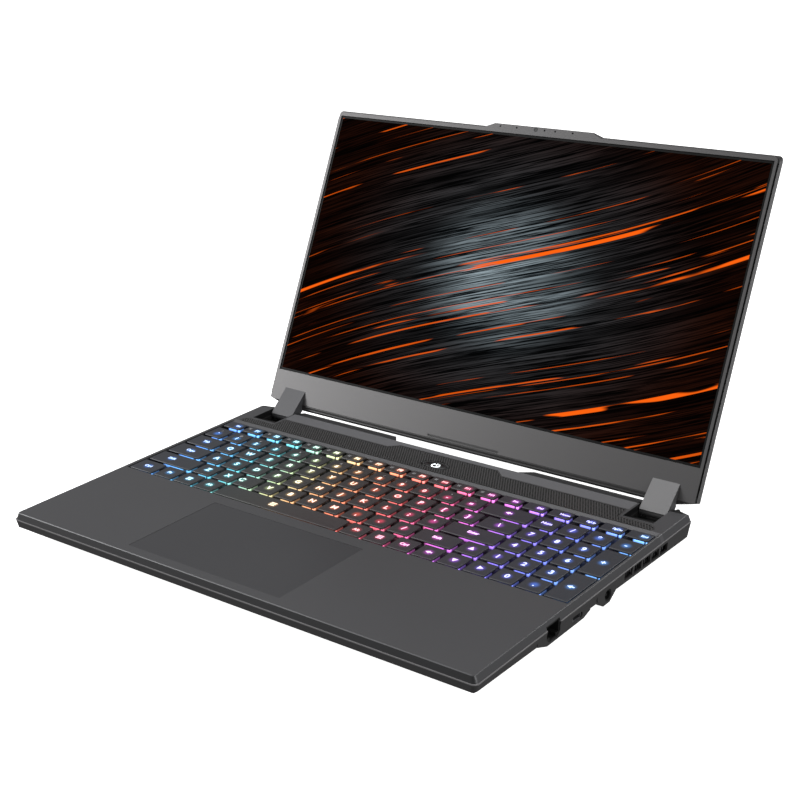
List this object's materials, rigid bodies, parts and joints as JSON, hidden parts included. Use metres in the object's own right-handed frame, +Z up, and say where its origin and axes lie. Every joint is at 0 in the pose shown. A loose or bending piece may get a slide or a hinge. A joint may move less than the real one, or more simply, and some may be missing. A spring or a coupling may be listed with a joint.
{
  "type": "laptop computer",
  "caption": "Open gaming laptop: wedge base with full keyboard, touchpad, vents and side ports, and a hinged display lid with thin bezels and a camera bump.",
  "frame": {"origin": "on the floor, under the middle of the opened laptop's bounding box", "axes": "+X to the user's right along the hinge, +Y away from the user, +Z up"},
  "size_m": [0.356, 0.345, 0.2251],
  "materials": {
    "case_paint": "fine matte paint",
    "case_plastic": "fine moulded grain",
    "key_plastic": "matte",
    "pad_surface": "satin",
    "button_plastic": "gloss",
    "grille_plastic": "matte",
    "rubber_foot": "matte",
    "port_plastic": "matte",
    "port_steel": "plated",
    "hinge_steel": "machined",
    "panel_frame": "matte",
    "screen_surface": "anti-glare",
    "circuit_board": "solder mask",
    "fin_copper": "bare",
    "fin_aluminium": "bare",
    "fan_plastic": "moulded",
    "battery_wrap": "film",
    "speaker_plastic": "moulded"
  },
  "bodies": {
    "base": {"audio_jack": "port_plastic", "battery": "battery_wrap", "bottom_cover": "case_plastic", "cover_screws": "port_steel", "exhaust_fins": "fin_aluminium", "fan_housings": "fan_plastic", "hdmi_port": "port_steel", "heat_pipes": "fin_copper", "hinge_bracket_left": "hinge_steel", "hinge_bracket_right": "hinge_steel", "keyboard_plate": "key_plastic", "motherboard": "circuit_board", "network_port": "port_plastic", "plug_in_boards": "circuit_board", "power_jack": "port_plastic", "rear_grille": "grille_plastic", "rear_trim_left": "case_plastic", "rear_trim_right": "case_plastic", "rubber_feet": "rubber_foot", "side_port_block": "case_plastic", "speakers": "speaker_plastic", "top_case": "case_paint", "usb_a_port": "port_steel", "usb_c_port": "port_steel"},
    "lid": {"lid_back_cover": "case_paint", "bezel": "case_plastic", "lcd_panel": "panel_frame", "display_screen": "screen_surface", "camera_module": "port_plastic", "hinge_cover_left": "case_paint", "hinge_cover_right": "case_paint", "hinge_arm_left": "hinge_steel", "hinge_arm_right": "hinge_steel"},
    "escape_key": {"escape_key": "key_plastic"},
    "function_keys": {"function_keys": "key_plastic"},
    "number_row_keys": {"number_row_keys": "key_plastic"},
    "backspace_key": {"backspace_key": "key_plastic"},
    "tab_key": {"tab_key": "key_plastic"},
    "upper_letter_keys": {"upper_letter_keys": "key_plastic"},
    "backslash_key": {"backslash_key": "key_plastic"},
    "caps_lock_key": {"caps_lock_key": "key_plastic"},
    "home_letter_keys": {"home_letter_keys": "key_plastic"},
    "enter_key": {"enter_key": "key_plastic"},
    "left_shift_key": {"left_shift_key": "key_plastic"},
    "lower_letter_keys": {"lower_letter_keys": "key_plastic"},
    "right_shift_key": {"right_shift_key": "key_plastic"},
    "modifier_keys": {"modifier_keys": "key_plastic"},
    "space_bar": {"space_bar": "key_plastic"},
    "up_arrow_key": {"up_arrow_key": "key_plastic"},
    "left_arrow_key": {"left_arrow_key": "key_plastic"},
    "down_arrow_key": {"down_arrow_key": "key_plastic"},
    "right_arrow_key": {"right_arrow_key": "key_plastic"},
    "numpad_operator_keys": {"numpad_operator_keys": "key_plastic"},
    "numpad_digit_keys": {"numpad_digit_keys": "key_plastic"},
    "numpad_plus_key": {"numpad_plus_key": "key_plastic"},
    "numpad_enter_key": {"numpad_enter_key": "key_plastic"},
    "touchpad": {"touchpad": "pad_surface"},
    "power_button": {"power_button": "button_plastic"},
    "fan_left": {"fan_left": "fan_plastic"},
    "fan_right": {"fan_right": "fan_plastic"}
  },
  "joints": [
    {"name": "lid_hinge", "type": "hinge", "parent": "base", "child": "lid", "pos_m": [0, 0.0618, 0.0143], "axis": [1, 0, 0], "range_deg": [-5, 115.6]},
    {"name": "escape_key_press", "type": "slide", "parent": "base", "child": "escape_key", "axis": [0, 0, -1], "range_m": [0, 0.0015], "stiffness_N_per_m": 300, "springref_m": -0.0006},
    {"name": "function_keys_press", "type": "slide", "parent": "base", "child": "function_keys", "axis": [0, 0, -1], "range_m": [0, 0.0015], "stiffness_N_per_m": 300, "springref_m": -0.0006},
    {"name": "number_row_keys_press", "type": "slide", "parent": "base", "child": "number_row_keys", "axis": [0, 0, -1], "range_m": [0, 0.0015], "stiffness_N_per_m": 300, "springref_m": -0.0006},
    {"name": "backspace_key_press", "type": "slide", "parent": "base", "child": "backspace_key", "axis": [0, 0, -1], "range_m": [0, 0.0015], "stiffness_N_per_m": 300, "springref_m": -0.0006},
    {"name": "tab_key_press", "type": "slide", "parent": "base", "child": "tab_key", "axis": [0, 0, -1], "range_m": [0, 0.0015], "stiffness_N_per_m": 300, "springref_m": -0.0006},
    {"name": "upper_letter_keys_press", "type": "slide", "parent": "base", "child": "upper_letter_keys", "axis": [0, 0, -1], "range_m": [0, 0.0015], "stiffness_N_per_m": 300, "springref_m": -0.0006},
    {"name": "backslash_key_press", "type": "slide", "parent": "base", "child": "backslash_key", "axis": [0, 0, -1], "range_m": [0, 0.0015], "stiffness_N_per_m": 300, "springref_m": -0.0006},
    {"name": "caps_lock_key_press", "type": "slide", "parent": "base", "child": "caps_lock_key", "axis": [0, 0, -1], "range_m": [0, 0.0015], "stiffness_N_per_m": 300, "springref_m": -0.0006},
    {"name": "home_letter_keys_press", "type": "slide", "parent": "base", "child": "home_letter_keys", "axis": [0, 0, -1], "range_m": [0, 0.0015], "stiffness_N_per_m": 300, "springref_m": -0.0006},
    {"name": "enter_key_press", "type": "slide", "parent": "base", "child": "enter_key", "axis": [0, 0, -1], "range_m": [0, 0.0015], "stiffness_N_per_m": 300, "springref_m": -0.0006},
    {"name": "left_shift_key_press", "type": "slide", "parent": "base", "child": "left_shift_key", "axis": [0, 0, -1], "range_m": [0, 0.0015], "stiffness_N_per_m": 300, "springref_m": -0.0006},
    {"name": "lower_letter_keys_press", "type": "slide", "parent": "base", "child": "lower_letter_keys", "axis": [0, 0, -1], "range_m": [0, 0.0015], "stiffness_N_per_m": 300, "springref_m": -0.0006},
    {"name": "right_shift_key_press", "type": "slide", "parent": "base", "child": "right_shift_key", "axis": [0, 0, -1], "range_m": [0, 0.0015], "stiffness_N_per_m": 300, "springref_m": -0.0006},
    {"name": "modifier_keys_press", "type": "slide", "parent": "base", "child": "modifier_keys", "axis": [0, 0, -1], "range_m": [0, 0.0015], "stiffness_N_per_m": 300, "springref_m": -0.0006},
    {"name": "space_bar_press", "type": "slide", "parent": "base", "child": "space_bar", "axis": [0, 0, -1], "range_m": [0, 0.0015], "stiffness_N_per_m": 300, "springref_m": -0.0006},
    {"name": "up_arrow_key_press", "type": "slide", "parent": "base", "child": "up_arrow_key", "axis": [0, 0, -1], "range_m": [0, 0.0015], "stiffness_N_per_m": 300, "springref_m": -0.0006},
    {"name": "left_arrow_key_press", "type": "slide", "parent": "base", "child": "left_arrow_key", "axis": [0, 0, -1], "range_m": [0, 0.0015], "stiffness_N_per_m": 300, "springref_m": -0.0006},
    {"name": "down_arrow_key_press", "type": "slide", "parent": "base", "child": "down_arrow_key", "axis": [0, 0, -1], "range_m": [0, 0.0015], "stiffness_N_per_m": 300, "springref_m": -0.0006},
    {"name": "right_arrow_key_press", "type": "slide", "parent": "base", "child": "right_arrow_key", "axis": [0, 0, -1], "range_m": [0, 0.0015], "stiffness_N_per_m": 300, "springref_m": -0.0006},
    {"name": "numpad_operator_keys_press", "type": "slide", "parent": "base", "child": "numpad_operator_keys", "axis": [0, 0, -1], "range_m": [0, 0.0015], "stiffness_N_per_m": 300, "springref_m": -0.0006},
    {"name": "numpad_digit_keys_press", "type": "slide", "parent": "base", "child": "numpad_digit_keys", "axis": [0, 0, -1], "range_m": [0, 0.0015], "stiffness_N_per_m": 300, "springref_m": -0.0006},
    {"name": "numpad_plus_key_press", "type": "slide", "parent": "base", "child": "numpad_plus_key", "axis": [0, 0, -1], "range_m": [0, 0.0015], "stiffness_N_per_m": 300, "springref_m": -0.0006},
    {"name": "numpad_enter_key_press", "type": "slide", "parent": "base", "child": "numpad_enter_key", "axis": [0, 0, -1], "range_m": [0, 0.0015], "stiffness_N_per_m": 300, "springref_m": -0.0006},
    {"name": "touchpad_click", "type": "hinge", "parent": "base", "child": "touchpad", "pos_m": [-0.021, -0.0892, 0.0167], "axis": [1, 0, 0], "range_deg": [0, 0.4], "stiffness_Nm_per_rad": 14, "springref_deg": -0.23},
    {"name": "power_button_press", "type": "slide", "parent": "base", "child": "power_button", "axis": [0, 0, -1], "range_m": [0, 0.0004], "stiffness_N_per_m": 1500, "springref_m": -0.0004},
    {"name": "fan_left_spin", "type": "hinge", "parent": "base", "child": "fan_left", "pos_m": [-0.096, -0.0031, 0.008], "axis": [0, 0, 1], "continuous": true},
    {"name": "fan_right_spin", "type": "hinge", "parent": "base", "child": "fan_right", "pos_m": [0.096, -0.0031, 0.008], "axis": [0, 0, 1], "continuous": true}
  ]
}
